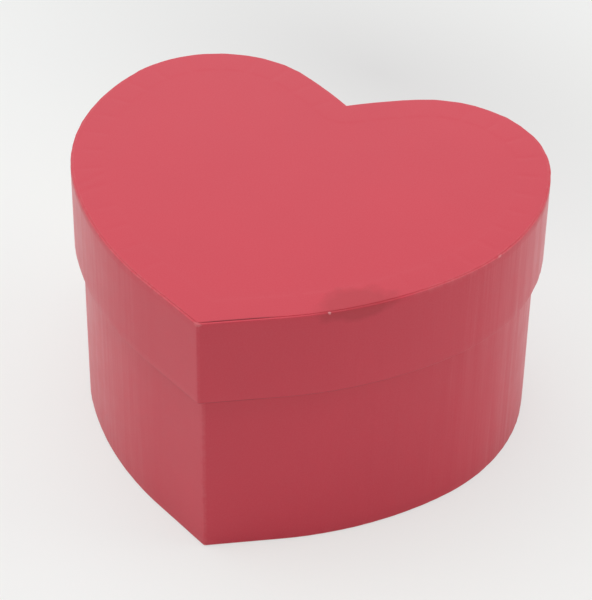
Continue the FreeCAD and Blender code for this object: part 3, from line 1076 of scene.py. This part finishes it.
class HEARTBOX_OT_stage(bpy.types.Operator):
    """Makes the table, the lamps, the world and the camera"""

    bl_idname = "heart_box.stage"
    bl_label = "Stage"

    def execute(self, context):
        scene = context.scene
        scene.view_settings.view_transform = "Standard"
        self.table(scene.heart_box.colours)
        self.world(scene)
        self.lamps(scene)
        self.camera(scene)
        return {"FINISHED"}

    def table(self, colours):
        """A round matt table, a little shaded behind the box."""
        angles = np.linspace(0, 2 * math.pi, TABLE_SIDES + 1)[:-1]
        ring = [
            (TABLE_RADIUS * math.cos(angle), TABLE_RADIUS * math.sin(angle), TABLE_TOP)
            for angle in angles
        ]
        mesh = bpy.data.meshes.new("table")
        mesh.from_pydata(ring, [], [tuple(range(TABLE_SIDES))])
        material, node, shader, place = surface("matt_white_table", colours.table_white)
        cloud = node("ShaderNodeTexNoise", grain(place, 160.0, 20.0), noise_dimensions="4D")
        base = stained(node, colours.table_white, cloud, 0.3, 0.7, 0.25, linear("#F0F1F3"))
        # A soft grey painted shadow on the table behind the box.
        shade = spot(node, place, TABLE_SHADE, 0.0)
        shade = node("ShaderNodeMath", (shade, 1.6), operation="POWER")
        base = stained(node, base, shade, 0.0, 1.0, 0.72, linear("#D4D3D3"))
        feed(shader.node, {"Base Color": base, "Roughness": 0.85})
        glow = node("ShaderNodeEmission", {"Color": base, "Strength": 1.0})
        # The camera sees two thirds of the table's own pale colour, and a gloss a seventh of it.
        seen = node("ShaderNodeMath", (seen_rays(node), 0.15), operation="MULTIPLY")
        camera = node("ShaderNodeLightPath", output="Is Camera Ray")
        share = node("ShaderNodeMath", (camera, 0.5, seen), operation="MULTIPLY_ADD")
        both = node("ShaderNodeMixShader", (share, shader, glow))
        node("ShaderNodeOutputMaterial", {"Surface": both})
        mesh.materials.append(material)
        placed("table", mesh)

    def world(self, scene):
        """Soft light from all round."""
        world = bpy.data.worlds.new("pale_studio")
        world.use_nodes = True
        world.node_tree.nodes.clear()
        node = partial(add, world.node_tree)
        # A gloss sees a white backdrop low down, and a dimmer ceiling above it.
        way = node("ShaderNodeTexCoord", output="Generated")
        up = node("ShaderNodeSeparateXYZ", (way,), "Z")
        backdrop = node("ShaderNodeMapRange", (up, 0.5, 0.72, 1.0, 0.7))
        strength = node("ShaderNodeMix", {0: seen_rays(node), 2: 0.46, 3: backdrop})
        colour = (*linear("#FBFBFC"), 1.0)
        back = node("ShaderNodeBackground", {"Color": colour, "Strength": strength})
        node("ShaderNodeOutputWorld", {"Surface": back})
        scene.world = world

    def lamps(self, scene):
        """Square softboxes that face the box."""
        for name, place, width, power in LAMPS:
            lamp = bpy.data.lights.new(name, "AREA")
            lamp.shape = "SQUARE"
            lamp.size = width
            lamp.energy = power
            lamp_object = bpy.data.objects.new(name, lamp)
            lamp_object.location = place
            aim = Vector(LAMP_AIM) - Vector(place)
            lamp_object.rotation_mode = "QUATERNION"
            lamp_object.rotation_quaternion = aim.to_track_quat("-Z", "Y")
            lamp_object.visible_camera = False
            scene.collection.objects.link(lamp_object)

    def camera(self, scene):
        """The camera at the photograph's viewpoint."""
        camera = bpy.data.cameras.new("camera")
        camera.sensor_width = CAMERA_SENSOR
        camera.lens = CAMERA_LENS
        camera.clip_start = 0.05
        camera.clip_end = 20.0
        forward = Vector(CAMERA_FORWARD).normalized()
        level = Vector(CAMERA_LEVEL).normalized()
        down = forward.cross(level).normalized()
        across = level * math.cos(CAMERA_ROLL) - down * math.sin(CAMERA_ROLL)
        upright = -(level * math.sin(CAMERA_ROLL) + down * math.cos(CAMERA_ROLL))
        turned = Matrix((across, upright, -forward)).transposed().to_4x4()
        camera_object = bpy.data.objects.new("camera", camera)
        camera_object.matrix_world = Matrix.Translation(Vector(CAMERA_PLACE)) @ turned
        scene.collection.objects.link(camera_object)
        scene.camera = camera_object


class HEARTBOX_OT_boards(bpy.types.Operator):
    """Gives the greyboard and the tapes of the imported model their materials"""

    bl_idname = "heart_box.boards"
    bl_label = "Boards and tapes"

    def execute(self, context):
        slots = {row["node"]: row["material_slot"] for row in frame["record"]["subparts"]}
        for name, node in frame["nodes"].items():
            node.data.materials.clear()
            node.data.materials.append(finish_of(slots[name]))
        return {"FINISHED"}


class HEARTBOX_OT_side_wraps(bpy.types.Operator):
    """Makes the red side wraps, with their folded rims, snipped tabs and lapped ends"""

    bl_idname = "heart_box.side_wraps"
    bl_label = "Side wraps"

    def execute(self, context):
        sizes = context.scene.heart_box.sizes
        radius = sizes.fold_radius / MM
        for seed, half in enumerate(HALVES, WRAP_SEED):
            face, tabs, up = half.face, half.tabs, half.up
            walls = Walls(sizes)
            # The side, from its border on the panel over the folds and down the inside.
            rails = walls.rails(
                (face, face + LINING_OUT),
                (TIP_BEND, INNER_TIP_BEND),
                (CLEFT_BEND, LINING_OUT - BOARD_OUT),
                wear_and_highlight=half.tip_wear_and_highlight,
            )
            section = walls.section(wrap_section(half, radius), 0, LINING_OUT)
            side = walls.strip("side", rails, section, seed, "red_wrap")
            # The snipped tabs, flat on the panel.
            outer, inner, cut = tab_columns(face)
            rails = [walls.rail(outer, cut=cut), walls.rail(inner, cut=cut)]
            rows = [(depth, tabs, 0.0, 0.0) for depth in (SNIP_START, 5.0, TAB_DEPTH)][::-up]
            section = walls.section(rows, SNIP_START, TAB_DEPTH, free=0.0)
            tab_ring = walls.strip("tabs", rails, section, 0, "red_wrap")
            # The wrap's end, lapped over its start on one side of the cleft.
            outer, _ = fold_line(face - PAPER, TIP_BEND, CLEFT_BEND, 1.0)
            inner, _ = fold_line(face, TIP_BEND, CLEFT_BEND, 1.0)
            lapped = run_lengths(inner[::-1])[::-1] <= WRAP_LAP
            rails = [walls.rail(outer[lapped]), walls.rail(inner[lapped])]
            one, other = (0.0, tabs - up * radius), (0.0, half.rim + up * radius)
            rows = [(*one, 0.0, 0.0), *straight(one, other, SIDE_STEP), (*other, 0.0, 0.0)][::up]
            section = walls.section(rows, 0, PAPER)
            lap = walls.strip("lap", rails, section, seed, "red_wrap")
            walls.clear()
            wrap = joined(f"{half.body}_wrap", side, tab_ring, lap)
            finish_piece(wrap, half.body, "red_wrap", f"{half.body}_side_wrap")
        return {"FINISHED"}


class HEARTBOX_OT_cover_sheets(bpy.types.Operator):
    """Makes the red hearts that hide the tabs, on the lid's top and under the tray"""

    bl_idname = "heart_box.cover_sheets"
    bl_label = "Cover sheets"

    def execute(self, context):
        sizes = context.scene.heart_box.sizes
        for seed, half in enumerate(HALVES, COVER_SEED):

            def sink(flat, inward, seed=seed, half=half):
                curl = COVER_CURL * (1 - smooth(inward, 0.0, 0.8))
                wave = SHEET_WAVE * (1 + waves(flat, seed, 60.0))
                bare = no_tab_below(flat, inward + half.cover_inset, half.face)
                return curl + wave + bare * sizes.telegraph / MM

            sheet = heart_sheet(
                f"{half.body}_cover",
                half.face + half.cover_inset,
                half.tabs + half.up * PAPER,
                half.up,
                sizes.step / MM,
                sink,
                gap=COVER_SHADE_LEAST,
            )
            finish_piece(sheet, half.body, "red_wrap", half.cover_node)
        return {"FINISHED"}


class HEARTBOX_OT_linings(bpy.types.Operator):
    """Makes the ivory linings of both walls, pressed over the turned-in wrap and the tape"""

    bl_idname = "heart_box.linings"
    bl_label = "Wall linings"

    def execute(self, context):
        over_tape = PAPER / (LINING_IN - BOARD_IN)  # the tape's thickness between the two rails
        for seed, half in enumerate(HALVES, LINING_SEED):
            walls = Walls(context.scene.heart_box.sizes)
            back = half.face + BOARD_IN
            points, _ = fold_line(back, INNER_TIP_BEND, BOARD_IN - BOARD_OUT, walls.step)
            at_cleft = distance(points, cleft_corner(back))
            rails = walls.rails(
                (back, half.face + LINING_IN),
                (INNER_TIP_BEND, INNER_TIP_BEND),
                (BOARD_IN - BOARD_OUT, LINING_IN - BOARD_OUT),
                lift=1 - smooth(at_cleft, TAPE_REACH, TAPE_REACH + 1.0),
            )
            rows, pressed = lining_section(half)
            section = walls.section(
                rows, BOARD_IN, LINING_IN, lift=pressed * over_tape, free=LINING_FREE
            )
            lining = walls.strip(f"{half.body}_lining", rails, section, seed, "lining")
            walls.clear()
            finish_piece(lining, half.body, "lining", f"{half.body}_wall_lining")
        return {"FINISHED"}


class HEARTBOX_OT_inner_sheets(bpy.types.Operator):
    """Makes the ivory hearts on the tray's floor and the lid's ceiling"""

    bl_idname = "heart_box.inner_sheets"
    bl_label = "Inner sheets"

    def execute(self, context):
        step = context.scene.heart_box.sizes.step / MM
        for seed, half in enumerate(HALVES, INNER_SEED):

            def sink(flat, inward, seed=seed):
                return SHEET_WAVE * (1 + waves(flat, seed, 45.0))

            sheet = heart_sheet(
                half.inner_node.removesuffix("_sheet"),
                half.face + LINING_IN + 0.1,
                half.panel - half.up * PAPER,
                -half.up,
                step,
                sink,
            )
            finish_piece(sheet, half.body, "lining", half.inner_node)
        return {"FINISHED"}


class HEARTBOX_PT_sidebar(bpy.types.Panel):
    """Lists the operators that make the heart box, and its settings"""

    bl_idname = "HEARTBOX_PT_sidebar"
    bl_label = "Heart Gift Box"
    bl_space_type = "VIEW_3D"
    bl_region_type = "UI"
    bl_category = "Heart Box"

    def draw(self, context):
        column = self.layout.column(align=True)
        for operator in OPERATORS:
            column.operator(operator.bl_idname)
        settings = context.scene.heart_box
        for group in (settings.sizes, settings.colours):
            box = self.layout.box()
            for name in type(group).__annotations__:
                box.prop(group, name)


OPERATORS = (
    HEARTBOX_OT_stage,
    HEARTBOX_OT_boards,
    HEARTBOX_OT_side_wraps,
    HEARTBOX_OT_cover_sheets,
    HEARTBOX_OT_linings,
    HEARTBOX_OT_inner_sheets,
)
CLASSES = (
    HeartBoxSizes,
    HeartBoxColours,
    HeartBoxSettings,
    *OPERATORS,
    HEARTBOX_PT_sidebar,
)


def register():
    """Registers the classes and the settings."""
    for cls in CLASSES:
        bpy.utils.register_class(cls)
    bpy.types.Scene.heart_box = bpy.props.PointerProperty(type=HeartBoxSettings)


def unregister():
    """Undoes register."""
    del bpy.types.Scene.heart_box
    for cls in reversed(CLASSES):
        bpy.utils.unregister_class(cls)


def main():
    """Makes every piece in order."""
    register()
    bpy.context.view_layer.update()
    bpy.ops.heart_box.stage()
    bpy.ops.heart_box.boards()
    bpy.ops.heart_box.side_wraps()
    bpy.ops.heart_box.cover_sheets()
    bpy.ops.heart_box.linings()
    bpy.ops.heart_box.inner_sheets()


if __name__ == "__main__":
    main()
